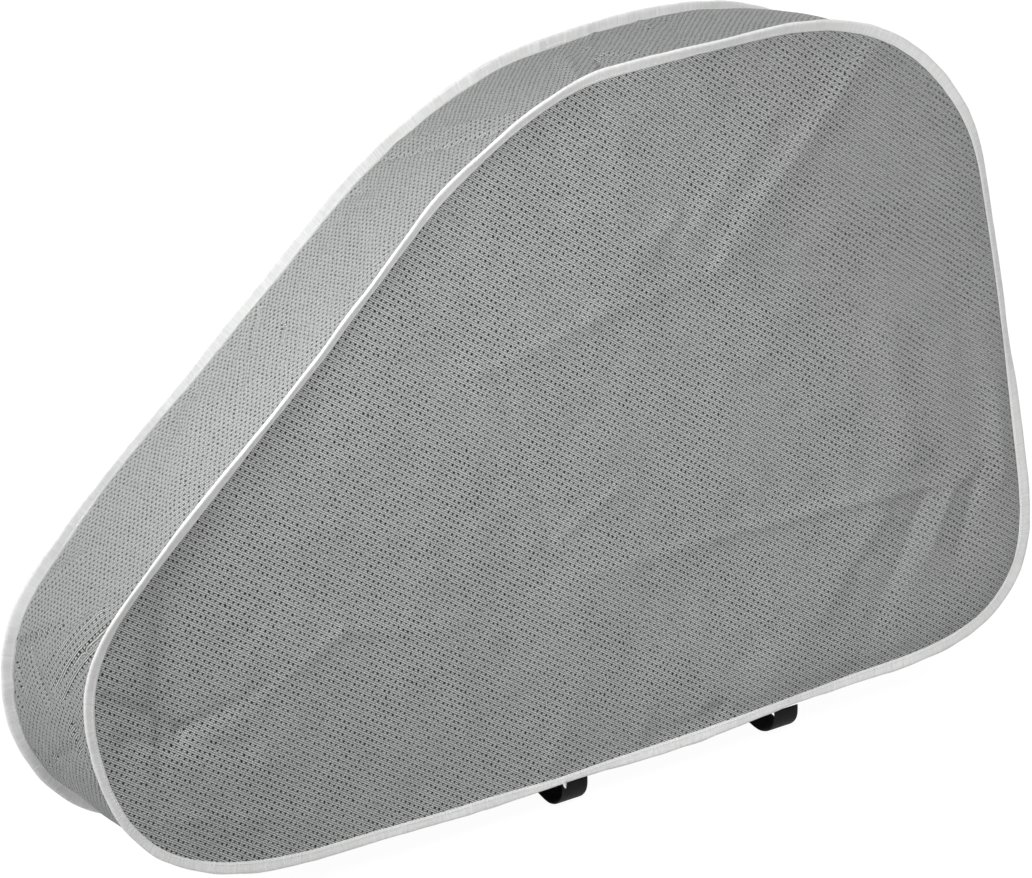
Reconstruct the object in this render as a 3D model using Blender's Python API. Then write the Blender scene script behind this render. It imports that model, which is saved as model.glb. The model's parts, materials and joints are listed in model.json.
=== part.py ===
"""Fabric cover for a caravan's tow hitch.

Two equal side panels stand DEPTH apart and a gusset strip joins them round the nose, the top and the back.
Every raw edge is bound in folded tape. The bottom is open, and two webbing straps close under it.
Axes: X from the low nose to the tall back, Y from the front panel to the rear one, Z up.
The origin is in the middle of the open mouth, level with the bottom hem.
"""
import math

import bpy
import bmesh

# Overall size
LENGTH = 0.924
DEPTH = 0.150
WEBBING_WIDTH = 0.025

# Cloth, tape and webbing thicknesses
CLOTH = 0.0008
TAPE = 0.0006
WEBBING = 0.0014
PATCH = 0.0010
GAP = 0.0003

# Bound seams: the tape is a U fold whose crown is the outer edge of the side panel
TAPE_WIDTH = 0.012
SEAM_HALF = TAPE + GAP + CLOTH + GAP / 2
EDGE_INSET = TAPE + GAP

# Outline of a side panel, clockwise from the nose end of the straight hem:
# x from the nose tip, height above the hem, heading in degrees, handle lengths before and after
OUTLINE = [
    (0.221, 0.000, 180, 0.000, 0.120),
    (0.000, 0.151, 90, 0.120, 0.065),
    (0.066, 0.270, 43, 0.045, 0.065),
    (0.200, 0.378, 38, 0.025, 0.030),
    (0.336, 0.495, 41, 0.040, 0.065),
    (0.525, 0.583, 3, 0.060, 0.050),
    (0.705, 0.587, 0, 0.040, 0.113),
    (0.893, 0.436, -84, 0.075, 0.070),
    (0.924, 0.114, -90, 0.070, 0.085),
    (0.775, 0.000, 180, 0.065, 0.000),
]
STEPS = 8

# The gusset starts this many steps past the first outline point, and stops as many before the last
GUSSET_INSET_STEPS = 3

# Straps: distance from the nose tip to each strap's middle, and how low its loop hangs
STRAPS = {"nose_side": 0.429, "back_side": 0.646}
LOOP_DROP = 0.029
LOOP_BEND = 0.012
PIVOT_DROP = 0.0012
SEWN_LENGTH = 0.010
SEWN_BOTTOM = 0.002

# Closure: the strap's flat end lies under the tab. Distances run from the tab's pivot along the closure
CLOSURE_INCLINE = math.radians(8.5)
TAB_LENGTH = 0.080
TAB_CLEARANCE = 0.002
STRAP_END = 0.030
PATCH_START = 0.034
PATCH_LENGTH = 0.042
PATCH_WIDTH = 0.023


def clear_scene():
    for existing in list(bpy.data.objects):
        bpy.data.objects.remove(existing, do_unlink=True)


def material(name, colour, roughness):
    made = bpy.data.materials.new(name)
    made.use_nodes = True
    shader = made.node_tree.nodes["Principled BSDF"]
    shader.inputs["Base Color"].default_value = (*colour, 1.0)
    shader.inputs["Roughness"].default_value = roughness
    made.diffuse_color = (*colour, 1.0)
    return made


def add_object(name, mesh_data, made_material, location=(0.0, 0.0, 0.0)):
    """Close the bmesh into a named object whose origin is at location."""
    bmesh.ops.recalc_face_normals(mesh_data, faces=mesh_data.faces)
    bmesh.ops.translate(mesh_data, verts=mesh_data.verts, vec=[-value for value in location])
    mesh = bpy.data.meshes.new(name)
    mesh_data.to_mesh(mesh)
    mesh_data.free()
    mesh.materials.append(made_material)
    mesh.shade_smooth()
    mesh.set_sharp_from_angle(angle=math.radians(35))
    made = bpy.data.objects.new(name, mesh)
    made.location = location
    bpy.context.scene.collection.objects.link(made)
    return made


def bezier(start, start_heading, start_handle, end, end_heading, end_handle, t):
    """Point and unit tangent of a cubic whose handles lie along the two headings."""
    first = (start[0] + start_handle * math.cos(start_heading), start[1] + start_handle * math.sin(start_heading))
    second = (end[0] - end_handle * math.cos(end_heading), end[1] - end_handle * math.sin(end_heading))
    s = 1.0 - t
    point = []
    slope = []
    for p0, p1, p2, p3 in zip(start, first, second, end):
        point.append(s ** 3 * p0 + 3 * s * s * t * p1 + 3 * s * t * t * p2 + t ** 3 * p3)
        slope.append(s * s * (p1 - p0) + 2 * s * t * (p2 - p1) + t * t * (p3 - p2))
    length = math.hypot(*slope)
    return point, (slope[0] / length, slope[1] / length)


def outline_stations():
    """(x, z, inward x, inward z) round the panel's outer edge, x measured from the middle of its length."""
    stations = []
    for start, end in zip(OUTLINE[:-1], OUTLINE[1:]):
        for step in range(STEPS):
            point, tangent = bezier(start[:2], math.radians(start[2]), start[4],
                                    end[:2], math.radians(end[2]), end[3], step / STEPS)
            stations.append((point[0] - LENGTH / 2, point[1], tangent[1], -tangent[0]))
    last = OUTLINE[-1]
    heading = math.radians(last[2])
    stations.append((last[0] - LENGTH / 2, last[1], math.sin(heading), -math.cos(heading)))
    return stations


def sweep(stations, profile, closed):
    """Carry a closed profile of (inset, y) points along the outline stations."""
    data = bmesh.new()
    rows = []
    for x, z, inward_x, inward_z in stations:
        rows.append([data.verts.new((x + inset * inward_x, y, z + inset * inward_z)) for inset, y in profile])
    count = len(profile)
    row_pairs = list(zip(rows[:-1], rows[1:]))
    if closed:
        row_pairs.append((rows[-1], rows[0]))
    for near, far in row_pairs:
        for i in range(count):
            j = (i + 1) % count
            data.faces.new((near[i], near[j], far[j], far[i]))
    if not closed:
        data.faces.new(rows[0])
        data.faces.new(list(reversed(rows[-1])))
    return data


def tape_profile(middle_y):
    """U fold of tape, open inwards, with its middle plane at middle_y."""
    low = middle_y - SEAM_HALF
    high = middle_y + SEAM_HALF
    return [(0.0, low), (TAPE_WIDTH, low), (TAPE_WIDTH, low + TAPE), (TAPE, low + TAPE),
            (TAPE, high - TAPE), (TAPE_WIDTH, high - TAPE), (TAPE_WIDTH, high), (0.0, high)]


def gusset_profile():
    """The gusset's wall, with a flange turned outwards into each bound seam."""
    front = -DEPTH / 2 + GAP / 2
    rear = DEPTH / 2 - GAP / 2
    wall_out = TAPE_WIDTH + GAP
    wall_in = wall_out + CLOTH
    return [(EDGE_INSET, front), (wall_in, front), (wall_in, rear), (EDGE_INSET, rear),
            (EDGE_INSET, rear - CLOTH), (wall_out, rear - CLOTH), (wall_out, front + CLOTH),
            (EDGE_INSET, front + CLOTH)]


def side_panel(name, stations, low_y, cloth):
    """A flat sheet of cloth whose edge sits inside the binding's fold."""
    data = bmesh.new()
    sides = []
    for y in (low_y, low_y + CLOTH):
        sides.append([data.verts.new((x + EDGE_INSET * nx, y, z + EDGE_INSET * nz)) for x, z, nx, nz in stations])
    data.faces.new(sides[0])
    data.faces.new(list(reversed(sides[1])))
    for i in range(len(stations)):
        j = (i + 1) % len(stations)
        data.faces.new((sides[0][i], sides[0][j], sides[1][j], sides[1][i]))
    return add_object(name, data, cloth)


def hem_tape(name, end_station, next_station, tape):
    """Tape folded over the gusset's cut end, between the two bound seams."""
    wall_middle = TAPE_WIDTH + GAP + CLOTH / 2
    end, following = [(x + wall_middle * nx, z + wall_middle * nz)
                      for x, z, nx, nz in (end_station, next_station)]
    run = math.hypot(following[0] - end[0], following[1] - end[1])
    along = ((following[0] - end[0]) / run, (following[1] - end[1]) / run)
    across = (-along[1], along[0])
    half = CLOTH / 2 + GAP + TAPE
    crown = -GAP - TAPE
    reach = TAPE_WIDTH - TAPE
    profile = [(crown, -half), (reach, -half), (reach, TAPE - half), (-GAP, TAPE - half),
               (-GAP, half - TAPE), (reach, half - TAPE), (reach, half), (crown, half)]
    half_length = DEPTH / 2 - SEAM_HALF - 2 * GAP
    data = bmesh.new()
    ends = []
    for y in (-half_length, half_length):
        ends.append([data.verts.new((end[0] + a * along[0] + c * across[0], y,
                                     end[1] + a * along[1] + c * across[1])) for a, c in profile])
    data.faces.new(ends[0])
    data.faces.new(list(reversed(ends[1])))
    for i in range(len(profile)):
        j = (i + 1) % len(profile)
        data.faces.new((ends[0][i], ends[0][j], ends[1][j], ends[1][i]))
    return add_object(name, data, tape)


def flat_strip(name, path, width, thickness, x, strip_material, location):
    """A strip of given width whose middle line is path, a list of (y, z), with eased ends."""
    data = bmesh.new()
    rows = []
    for i, (y, z) in enumerate(path):
        before = path[max(i - 1, 0)]
        after = path[min(i + 1, len(path) - 1)]
        run = math.hypot(after[0] - before[0], after[1] - before[1])
        normal = (-(after[1] - before[1]) / run, (after[0] - before[0]) / run)
        half = thickness / 2
        if i in (0, len(path) - 1):
            half = thickness / 4
        row = []
        for side_x, side in ((-1, -1), (1, -1), (1, 1), (-1, 1)):
            row.append(data.verts.new((x + side_x * width / 2, y + side * half * normal[0],
                                       z + side * half * normal[1])))
        rows.append(row)
    for near, far in zip(rows[:-1], rows[1:]):
        for i in range(4):
            j = (i + 1) % 4
            data.faces.new((near[i], near[j], far[j], far[i]))
    data.faces.new(rows[0])
    data.faces.new(list(reversed(rows[-1])))
    return add_object(name, data, strip_material, location)


def eased_ends(path, ease):
    """Add a point just inside each end of a path, where its thickness starts to taper."""
    def between(near, far):
        run = math.hypot(far[0] - near[0], far[1] - near[1])
        return (near[0] + (far[0] - near[0]) * ease / run, near[1] + (far[1] - near[1]) * ease / run)
    return [path[0], between(path[0], path[1])] + path[1:-1] + [between(path[-1], path[-2]), path[-1]]


def strap_set(prefix, from_nose, webbing, hook, loop):
    """One strap under the mouth: a long piece from the front hem, closed on a tab from the rear hem."""
    x = from_nose - LENGTH / 2
    pivot_inset = SEAM_HALF + GAP + WEBBING / 2
    front_y = -DEPTH / 2 + pivot_inset
    rear_y = DEPTH / 2 - pivot_inset
    front_pivot = (x, front_y, -PIVOT_DROP)
    rear_pivot = (x, rear_y, -PIVOT_DROP)
    ease = WEBBING / 2
    stack = WEBBING + 2 * PATCH + 3 * GAP

    def on_closure(distance, drop):
        """(y, z) at a distance from the tab's pivot along the closure, and a drop below the tab's middle line."""
        along = (math.cos(CLOSURE_INCLINE), math.sin(CLOSURE_INCLINE))
        return (rear_y - distance * along[0] + drop * along[1],
                -PIVOT_DROP - distance * along[1] - drop * along[0])

    # The strap drops from the front hem, bends, runs straight to the knee and lies flat from there
    knee = on_closure(TAB_LENGTH + TAB_CLEARANCE, stack)
    bend_y = front_y + LOOP_BEND
    bend_z = LOOP_BEND + WEBBING / 2 - LOOP_DROP
    to_knee = (knee[0] - bend_y, knee[1] - bend_z)
    incline = math.atan2(to_knee[1], to_knee[0]) + math.asin(LOOP_BEND / math.hypot(*to_knee))
    path = [(front_y, ease - PIVOT_DROP)]
    bend_steps = 8
    for step in range(bend_steps + 1):
        angle = math.pi + (math.pi / 2 + incline) * step / bend_steps
        path.append((bend_y + LOOP_BEND * math.cos(angle), bend_z + LOOP_BEND * math.sin(angle)))
    path += [knee, on_closure(STRAP_END, stack)]
    flat_strip(prefix + "_strap", eased_ends(path, ease), WEBBING_WIDTH, WEBBING, x, webbing, front_pivot)

    tab = [on_closure(-ease, 0.0), on_closure(TAB_LENGTH, 0.0)]
    flat_strip(prefix + "_tab", eased_ends(tab, ease), WEBBING_WIDTH, WEBBING, x, webbing, rear_pivot)

    loop_drop = WEBBING / 2 + GAP + PATCH / 2
    hook_drop = stack - loop_drop
    for name, drop, patch_material, pivot in (("_hook_patch", hook_drop, hook, front_pivot),
                                              ("_loop_patch", loop_drop, loop, rear_pivot)):
        patch = [on_closure(PATCH_START, drop), on_closure(PATCH_START + PATCH_LENGTH, drop)]
        flat_strip(prefix + name, eased_ends(patch, PATCH / 4), PATCH_WIDTH, PATCH, x, patch_material, pivot)

    for name, y in (("_strap_sewn_end", front_y), ("_tab_sewn_end", rear_y)):
        sewn = [(y, SEWN_BOTTOM), (y, SEWN_BOTTOM + SEWN_LENGTH)]
        flat_strip(prefix + name, eased_ends(sewn, ease), WEBBING_WIDTH, WEBBING, x, webbing, (x, y, SEWN_BOTTOM))


def build():
    clear_scene()
    cloth = material("grey_cloth", (0.27, 0.28, 0.275), 0.85)
    tape = material("white_tape", (0.80, 0.80, 0.79), 0.80)
    webbing = material("black_webbing", (0.008, 0.008, 0.009), 0.70)
    hook = material("black_hook", (0.010, 0.010, 0.010), 0.60)
    loop = material("black_loop", (0.012, 0.012, 0.012), 0.95)

    stations = outline_stations()
    side_panel("front_panel", stations, -DEPTH / 2 - GAP / 2 - CLOTH, cloth)
    side_panel("rear_panel", stations, DEPTH / 2 + GAP / 2, cloth)
    add_object("front_binding", sweep(stations, tape_profile(-DEPTH / 2), True), tape)
    add_object("rear_binding", sweep(stations, tape_profile(DEPTH / 2), True), tape)

    gusset = stations[GUSSET_INSET_STEPS:len(stations) - GUSSET_INSET_STEPS]
    add_object("gusset", sweep(gusset, gusset_profile(), False), cloth)
    hem_tape("nose_hem_tape", gusset[0], gusset[1], tape)
    hem_tape("back_hem_tape", gusset[-1], gusset[-2], tape)

    for prefix, from_nose in STRAPS.items():
        strap_set(prefix, from_nose, webbing, hook, loop)


build()
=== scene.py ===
"""Looks for the hitch cover: embossed nonwoven cloth, folded binding tape, stitching and webbing.

Metres, in the frame's axes: X from the low nose to the tall back, Y from front panel to rear panel, Z up.
Places along a bound edge are shares of its length, clockwise from the nose end of the straight hem: the nose
tip is at 0.12, the slope from 0.18 to 0.38, the top to 0.47, the back from 0.57 to 0.70, the hem after 0.78.
"""
import json
import math

import bmesh
import bpy
import numpy as np
from mathutils import Matrix, Vector, geometry, noise


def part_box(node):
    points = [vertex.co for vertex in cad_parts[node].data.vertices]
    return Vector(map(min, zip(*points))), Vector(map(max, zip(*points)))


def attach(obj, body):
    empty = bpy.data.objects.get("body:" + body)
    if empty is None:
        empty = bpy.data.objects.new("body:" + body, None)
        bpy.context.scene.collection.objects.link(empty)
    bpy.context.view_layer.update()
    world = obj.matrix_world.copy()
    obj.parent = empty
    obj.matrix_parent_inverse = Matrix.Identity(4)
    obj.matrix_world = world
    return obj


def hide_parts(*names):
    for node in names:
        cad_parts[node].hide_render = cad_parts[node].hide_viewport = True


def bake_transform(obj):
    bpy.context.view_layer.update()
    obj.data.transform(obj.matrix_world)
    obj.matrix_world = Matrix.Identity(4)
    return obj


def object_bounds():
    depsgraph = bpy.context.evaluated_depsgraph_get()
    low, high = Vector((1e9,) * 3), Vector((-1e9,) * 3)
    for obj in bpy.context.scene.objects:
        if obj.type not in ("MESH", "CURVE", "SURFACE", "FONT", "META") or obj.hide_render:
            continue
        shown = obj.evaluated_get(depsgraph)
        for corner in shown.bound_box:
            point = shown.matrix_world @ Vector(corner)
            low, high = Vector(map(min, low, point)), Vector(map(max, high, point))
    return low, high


# The camera: where it aims, from how far, and the angles it looks along
AIM = Vector((-0.058, -0.075, 0.301))
DISTANCE = 2.816
AZIMUTH = math.radians(29.96)
ELEVATION = math.radians(16.42)
ROLL = math.radians(-5.79)
LENS = 122.1

STATIONS = 1280         # samples round a bound edge
EDGE_INSET = 0.0009     # how far the CAD panel's edge lies inside the folded tape's edge

# Cloth
CLOTH = 0.0006          # thickness
PLY = 0.00036           # from the middle of a seam to the middle of each cloth in it
GRID = 0.004            # spacing of a panel's points
TUCKS = (0.12, 0.40, 0.72)  # rows of the tucked rim, as shares of the tape's width
CROWN = 0.0022          # how far a panel stands out inside its rim
CROWN_REACH = 0.06      # distance over which it does
RIM_REACH = 0.012       # distance over which folds die out at the rim
PROUD = 0.0066          # the most that a fold may stand out, and how softly that limit sets in
KNEE = 0.0005
FOLD_GAIN = 1.7         # the folds' heights in the tables are multiplied by this

# Gusset
SEAM_GAP = 0.0009       # from a seam's line to the gusset's edge
BULGE = 0.0030          # outward bow between the seams
REAR_PUFF = 0.0022      # extra fullness beside the rear seam
CREST = 0.0050          # fullness of the rear end of the top, its place and its spread
CREST_PLACE = 0.495
CREST_SPREAD = 0.030

# Tape, webbing and thread
TAPE_WIDTH = 0.0118
TAPE_HALF = 0.0013      # half the thickness of the folded tape
TAPE = 0.0005           # thickness of one layer
HEM_TAPE_HALF = 0.0010
WEBBING = 0.0014
STITCH_PITCH = 0.0032
STITCH_INSET = 0.0018
THREAD_WIDTH = 0.0006
THREAD_GAP = 0.00005    # between a stitch's middle and the tape

# How each bound edge hangs: (place, depth of the seam inside the outline in mm, width of the folded tape
# in mm, lean towards the rear in degrees)
FRONT_EDGE = [
    (0.000, 10.5, 9.5, 4), (0.033, 9.5, 10.5, 0), (0.069, 8, 8, -5), (0.101, 11.5, 7, -8),
    (0.131, 8, 9, -10), (0.163, 3.5, 10.5, -40), (0.194, 6.5, 11, -25), (0.217, 5.5, 10.5, -35),
    (0.235, 3.5, 10.5, -40), (0.251, 3.5, 10.5, -40), (0.264, 5, 10.5, -40), (0.277, 3.5, 10.5, -40),
    (0.290, 4.5, 10.5, -40), (0.304, 4.5, 10.5, -40), (0.319, 5.5, 10.5, -28), (0.336, 7, 10.5, -25),
    (0.355, 6.5, 10.5, -35), (0.378, 6.5, 10, -28), (0.402, 7.5, 10, -22), (0.431, 6.5, 10, -33),
    (0.465, 6.5, 10, -33), (0.504, 9, 9.5, -20), (0.540, 10.5, 10.5, 0), (0.573, 5.5, 10, 25),
    (0.603, 6, 10, 27), (0.632, 8, 10, 27), (0.659, 10.5, 12, 8), (0.686, 12, 12, 0), (0.713, 13.5, 13, 0),
    (0.740, 10.5, 12, 0), (0.772, 13.5, 10.5, 0), (0.805, 12.5, 9.5, 3), (0.831, 9.5, 7, 5),
    (0.851, 7.5, 9.5, 3), (0.870, 6, 10, 0), (0.888, 6, 10.5, 0), (0.906, 6, 7.5, 4), (0.925, 4.5, 6, 5),
    (0.945, 7, 10, 3), (0.968, 7.5, 9, 3),
]
REAR_EDGE = [
    (0.000, 10, 10, 0), (0.080, 10, 10, 0), (0.114, 5.5, 10, 0), (0.135, 8.5, 11, 2), (0.157, 8.5, 11.5, 4),
    (0.180, 7, 11, 4), (0.201, 5, 9, 2), (0.218, 5, 9, 2), (0.234, 5.5, 9.5, 3), (0.248, 5.5, 11, 5),
    (0.262, 7, 11.5, 6), (0.274, 9, 11.5, 6), (0.298, 11, 11.5, 6), (0.323, 14, 11.5, 6),
    (0.351, 16.5, 11.5, 6), (0.366, 16, 11, 6), (0.382, 15, 11.5, 6), (0.398, 12, 11, 4), (0.416, 7, 11, 2),
    (0.435, 4, 10.5, 0), (0.455, 3, 10, 0), (0.477, 4.5, 8.5, 0), (0.500, 7, 8, 0), (0.600, 10, 10, 0),
    (0.800, 10, 10, 0), (0.920, 9.5, 9.5, 0),
]

# How a strap hangs from the front hem: (distance back, distance down) in mm
STRAP_LOOP = [
    (0, 0), (0.3, 6), (1.8, 12.5), (5.5, 18.4), (11, 23), (18, 26.2), (26, 27.4), (35, 25.6), (45, 21.8),
]
STRAP_DROP = {"nose_side": 1.0, "back_side": 0.88}

# Folds on the front panel: start and end (x, z), width on the left and right of that run in mm at the start,
# the same at the end, and height in mm at the start and end
FRONT_FOLDS = [
    ((0.322, 0.556), (0.160, 0.418), (13, 6), (30, 13), (1.7, 3.0)),
    ((0.232, 0.535), (0.120, 0.430), (12, 6), (20, 12), (0.6, 1.4)),
    ((0.110, 0.452), (0.070, 0.418), (10, 12), (16, 20), (1.6, 0.8)),
    ((-0.090, 0.362), (0.020, 0.383), (6, 6), (7, 7), (0.5, 0.9)),
    ((0.020, 0.383), (0.150, 0.402), (7, 7), (9, 9), (0.9, 0.4)),
    ((-0.072, 0.372), (-0.036, 0.205), (7, 7), (7, 7), (-0.5, -0.5)),
    ((-0.030, 0.208), (0.030, 0.238), (5, 6), (5, 6), (0.6, 0.7)),
    ((0.030, 0.238), (0.062, 0.212), (5, 6), (5, 6), (0.7, 0.3)),
    ((-0.030, 0.172), (0.120, 0.172), (8, 8), (7, 7), (0.5, 0.9)),
    ((0.120, 0.172), (0.290, 0.166), (7, 6), (6, 5), (0.9, 1.7)),
    ((0.290, 0.166), (0.405, 0.158), (6, 5), (6, 5), (1.7, 1.2)),
    ((0.300, 0.150), (0.180, 0.040), (8, 24), (12, 22), (1.4, 1.6)),
    ((0.130, 0.024), (0.410, 0.030), (80, 12), (95, 12), (2.4, 3.2)),
    ((0.345, 0.155), (0.275, 0.050), (6, 9), (12, 14), (-1.5, -1.0)),
    ((0.372, 0.150), (0.330, 0.085), (5, 7), (8, 10), (1.6, 0.8)),
    ((0.400, 0.150), (0.372, 0.090), (5, 7), (8, 10), (-1.8, -0.6)),
    ((0.315, 0.300), (0.330, 0.195), (18, 22), (18, 24), (1.0, 2.2)),
    ((0.390, 0.330), (0.410, 0.200), (14, 18), (16, 20), (-0.6, -1.2)),
    ((0.434, 0.260), (0.430, 0.150), (8, 10), (9, 12), (1.0, 1.8)),
    ((0.408, 0.162), (0.385, 0.150), (4, 5), (4, 5), (-2.0, -0.8)),
    ((-0.372, 0.292), (-0.398, 0.165), (60, 13), (50, 14), (-3.0, -3.4)),
    ((-0.440, 0.186), (-0.380, 0.140), (5, 6), (6, 8), (-3.0, -3.0)),
    ((-0.380, 0.140), (-0.300, 0.158), (6, 8), (6, 8), (-2.0, -0.5)),
    ((-0.430, 0.145), (-0.330, 0.112), (12, 7), (12, 9), (-2.4, -1.2)),
    ((-0.405, 0.075), (-0.280, 0.040), (8, 12), (8, 12), (1.3, 1.0)),
    ((-0.310, 0.150), (-0.235, 0.185), (6, 6), (6, 6), (0.5, 1.0)),
    ((-0.235, 0.185), (-0.150, 0.160), (6, 6), (6, 6), (1.0, 0.4)),
    ((-0.150, 0.465), (-0.085, 0.440), (6, 8), (8, 10), (-1.2, -0.3)),
    ((-0.110, 0.500), (-0.050, 0.468), (5, 7), (8, 10), (-1.4, -0.3)),
    ((-0.070, 0.530), (-0.020, 0.480), (5, 7), (8, 10), (1.2, 0.4)),
    ((-0.010, 0.562), (0.015, 0.505), (5, 7), (8, 10), (-1.4, -0.3)),
    ((0.045, 0.572), (0.055, 0.520), (4, 6), (7, 9), (-1.1, -0.2)),
    ((-0.060, 0.015), (-0.030, 0.070), (7, 9), (12, 14), (0.9, 0.3)),
    ((0.030, 0.012), (0.055, 0.075), (7, 9), (12, 14), (1.1, 0.3)),
    ((0.110, 0.012), (0.130, 0.060), (7, 9), (12, 14), (-1.0, -0.2)),
    ((-0.180, 0.015), (-0.200, 0.060), (7, 9), (12, 14), (-0.9, -0.2)),
]
REAR_FOLDS = [
    ((0.300, 0.540), (0.130, 0.400), (8, 24), (12, 30), (2.0, 3.6)),
    ((0.180, 0.545), (0.090, 0.430), (6, 9), (10, 14), (-1.8, -1.0)),
    ((-0.060, 0.380), (-0.060, 0.170), (5, 5), (5, 5), (-1.3, -1.3)),
    ((-0.250, 0.169), (0.400, 0.169), (6, 6), (6, 6), (-1.7, -1.9)),
    ((-0.060, 0.382), (0.380, 0.382), (6, 6), (6, 6), (1.2, 1.5)),
    ((0.200, 0.350), (0.170, 0.020), (9, 9), (14, 14), (-1.6, -2.2)),
    ((0.390, 0.340), (0.330, 0.060), (8, 12), (12, 16), (2.0, 1.4)),
    ((-0.400, 0.200), (-0.300, 0.120), (8, 10), (9, 11), (-3.0, -0.8)),
    ((-0.390, 0.090), (-0.270, 0.050), (7, 9), (9, 12), (2.2, 1.0)),
    ((-0.210, 0.380), (-0.130, 0.310), (6, 8), (9, 12), (-2.2, -0.6)),
    ((-0.080, 0.490), (-0.020, 0.430), (6, 8), (9, 12), (-2.4, -0.6)),
    ((0.020, 0.560), (0.040, 0.490), (6, 8), (9, 12), (2.0, 0.6)),
]

# Folds on the gusset: start and end as (place along the edge, share of the way back), the rest as above
GUSSET_FOLDS = [
    ((0.334, 0.96), (0.345, 0.45), (2.6, 2.6), (2.4, 2.6), (-1.5, -2.2)),
    ((0.345, 0.45), (0.357, 0.12), (2.6, 3.0), (2.6, 3.0), (-2.2, -1.0)),
    ((0.342, 0.96), (0.364, 0.20), (9, 10), (7, 9), (1.8, 1.2)),
    ((0.348, 0.80), (0.352, 0.62), (2.4, 2.6), (2.4, 2.6), (-1.6, -0.8)),
    ((0.318, 0.98), (0.322, 0.74), (7, 8), (7, 8), (-2.2, -1.0)),
    ((0.402, 0.62), (0.388, 0.12), (8, 9), (6, 6), (3.2, 1.8)),
    ((0.408, 0.42), (0.397, 0.05), (3.4, 4), (3, 4), (-2.6, -2.6)),
    ((0.412, 0.50), (0.420, 0.20), (3.4, 5), (3, 5), (-1.8, -0.8)),
    ((0.271, 0.93), (0.254, 0.62), (2.4, 2.6), (2.2, 2.6), (-1.9, -0.8)),
    ((0.268, 0.56), (0.262, 0.44), (2.6, 2.4), (2.2, 2.2), (-2.2, -1.6)),
    ((0.250, 0.60), (0.232, 0.30), (4, 5), (4, 5), (-1.4, -0.8)),
    ((0.262, 0.80), (0.246, 0.45), (12, 14), (10, 12), (1.6, 1.2)),
    ((0.300, 0.10), (0.315, 0.60), (14, 20), (14, 20), (1.8, 1.4)),
    ((0.228, 0.98), (0.222, 0.70), (3, 4), (3.4, 5), (-1.6, -1.0)),
    ((0.163, 0.015), (0.146, 0.22), (2.6, 2.8), (3.0, 3.0), (-3.4, -3.0)),
    ((0.146, 0.22), (0.130, 0.46), (2.8, 3.2), (3.0, 4.0), (-3.0, -1.4)),
    ((0.154, 0.020), (0.128, 0.34), (2.6, 2.8), (2.6, 3.0), (-2.2, -1.6)),
    ((0.160, 0.20), (0.136, 0.58), (7, 8), (6, 9), (2.2, 1.2)),
    ((0.122, 0.24), (0.112, 0.22), (2.8, 3.0), (2.8, 3.4), (-2.2, -1.4)),
    ((0.139, 0.97), (0.150, 0.52), (5, 2.6), (6, 3.0), (3.2, 1.6)),
    ((0.133, 0.985), (0.124, 0.86), (4, 3), (4, 3), (-3.2, -1.8)),
    ((0.123, 0.985), (0.117, 0.86), (3, 3), (4, 3), (-2.6, -1.0)),
    ((0.138, 0.80), (0.124, 0.50), (3.0, 3.4), (5, 6), (-2.0, -1.4)),
    ((0.172, 0.70), (0.158, 0.97), (8, 9), (7, 8), (1.8, 2.2)),
    ((0.100, 0.92), (0.096, 0.62), (3, 4), (3, 4), (-2.0, -1.0)),
    ((0.104, 0.60), (0.116, 0.20), (4, 5), (4, 6), (-1.8, -0.8)),
    ((0.200, 0.25), (0.232, 0.75), (14, 22), (14, 22), (1.8, 1.8)),
    ((0.430, 0.10), (0.452, 0.85), (6, 8), (6, 8), (-1.8, -1.4)),
    ((0.415, 0.70), (0.428, 0.98), (3, 4), (4, 5), (1.6, 2.0)),
    ((0.440, 0.72), (0.446, 0.98), (3, 4), (4, 5), (1.6, 2.0)),
    ((0.520, 0.10), (0.545, 0.90), (8, 10), (8, 10), (-2.0, -1.5)),
    ((0.600, 0.20), (0.640, 0.80), (14, 20), (14, 20), (1.8, 1.8)),
    ((0.690, 0.05), (0.720, 0.70), (5, 7), (7, 10), (-2.5, -0.8)),
]

MILLI = 0.001


# ---------------------------------------------------------------- curves and meshes

def smoothed(values, spread):
    """values round a closed loop, averaged with a bell of the given spread in samples."""
    reach = int(3 * spread) + 1
    bell = np.exp(-0.5 * (np.arange(-reach, reach + 1) / spread) ** 2)
    bell /= bell.sum()
    padded = np.concatenate([values[-reach:], values, values[:reach]])
    return np.convolve(padded, bell, "valid")


def around(stops, column):
    """One column of a table of stops, eased into a value for every station of a closed edge."""
    place = np.array([stop[0] for stop in stops])
    value = np.array([float(stop[column]) for stop in stops])
    place = np.concatenate([place - 1, place, place + 1])
    value = np.tile(value, 3)
    return smoothed(np.interp(np.arange(STATIONS) / STATIONS, place, value), STATIONS * 0.005)


def wander(spread, seed):
    """Smooth even noise round a closed edge, about 1 high, with features of the given length in metres."""
    random = np.random.default_rng(seed)
    line = smoothed(random.standard_normal(STATIONS), spread / outline.spacing)
    return line / line.std()


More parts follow.
